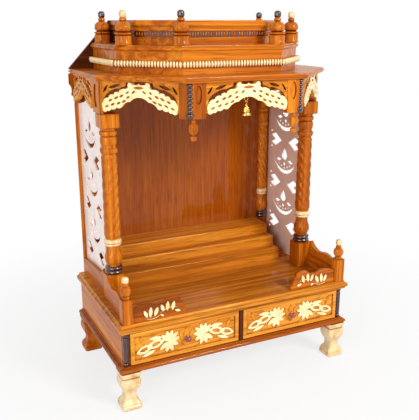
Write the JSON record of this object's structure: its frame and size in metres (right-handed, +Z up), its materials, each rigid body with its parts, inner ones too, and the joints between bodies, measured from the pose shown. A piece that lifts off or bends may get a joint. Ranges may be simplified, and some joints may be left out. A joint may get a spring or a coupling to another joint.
{
  "type": "wooden home temple",
  "caption": "Footed wooden home temple: two drawers, galleried stage, turned columns, pierced side screens, inner steps, arched canopy with a bell and a tiered roof with finials.",
  "frame": {"origin": "middle of the footprint on the floor, under the bounding box", "axes": "+Z up, -Y towards the front with the drawers, +X to the right seen from behind the viewer facing the front"},
  "size_m": [0.6, 0.368, 0.856],
  "materials": {
    "varnished_wood": "gloss",
    "dark_wood": "gloss",
    "honey_wood": "gloss",
    "back_wood": "satin",
    "pale_screen": "satin",
    "gilded_wood": "satin",
    "brass": "polished",
    "drawer_wood": "matte",
    "maroon_wood": "gloss"
  },
  "bodies": {
    "cabinet": {"arch_corner_left": "gilded_wood", "arch_corner_right": "gilded_wood", "arch_front": "gilded_wood", "back_panel": "back_wood", "back_stiles": "varnished_wood", "base_back": "back_wood", "base_side_left": "varnished_wood", "base_side_right": "varnished_wood", "bell_eye": "brass", "centre_divider": "dark_wood", "column_back_left": "varnished_wood", "column_back_right": "varnished_wood", "column_front_left": "varnished_wood", "column_front_right": "varnished_wood", "corner_strips": "dark_wood", "cornice": "varnished_wood", "drawer_runners": "dark_wood", "finials_back": "maroon_wood", "finials_front": "maroon_wood", "finials_side": "varnished_wood", "foot_back_left": "varnished_wood", "foot_back_right": "varnished_wood", "foot_front_left": "gilded_wood", "foot_front_right": "gilded_wood", "fret_corner_left": "varnished_wood", "fret_corner_right": "varnished_wood", "fret_front": "varnished_wood", "gallery_front_left": "varnished_wood", "gallery_front_right": "varnished_wood", "gallery_post_left": "varnished_wood", "gallery_post_right": "varnished_wood", "gallery_side_left": "varnished_wood", "gallery_side_right": "varnished_wood", "lower_moulding": "varnished_wood", "pendant_post_left": "varnished_wood", "pendant_post_right": "varnished_wood", "roof_back_board": "dark_wood", "roof_frieze": "varnished_wood", "roof_lower_tier": "varnished_wood", "roof_middle_tier": "varnished_wood", "roof_top_tier": "varnished_wood", "screen_left": "pale_screen", "screen_rail_left": "varnished_wood", "screen_rail_right": "varnished_wood", "screen_right": "pale_screen", "side_fret_left": "pale_screen", "side_fret_right": "pale_screen", "stage_top": "varnished_wood", "step_lower": "honey_wood", "step_middle": "honey_wood", "step_upper": "honey_wood"},
    "drawer_left": {"drawer_box_left": "drawer_wood", "drawer_front_left": "varnished_wood", "drawer_knob_left": "maroon_wood"},
    "drawer_right": {"drawer_box_right": "drawer_wood", "drawer_front_right": "varnished_wood", "drawer_knob_right": "maroon_wood"},
    "bell": {"bell": "brass", "bell_clapper": "brass"}
  },
  "joints": [
    {"name": "drawer_left_slide", "type": "slide", "parent": "cabinet", "child": "drawer_left", "axis": [0, -1, 0], "range_m": [0, 0.2]},
    {"name": "drawer_right_slide", "type": "slide", "parent": "cabinet", "child": "drawer_right", "axis": [0, -1, 0], "range_m": [0, 0.2]},
    {"name": "bell_swing", "type": "hinge", "parent": "cabinet", "child": "bell", "pos_m": [0, -0.1645, 0.672], "axis": [1, 0, 0], "range_deg": [-25, 25]}
  ]
}
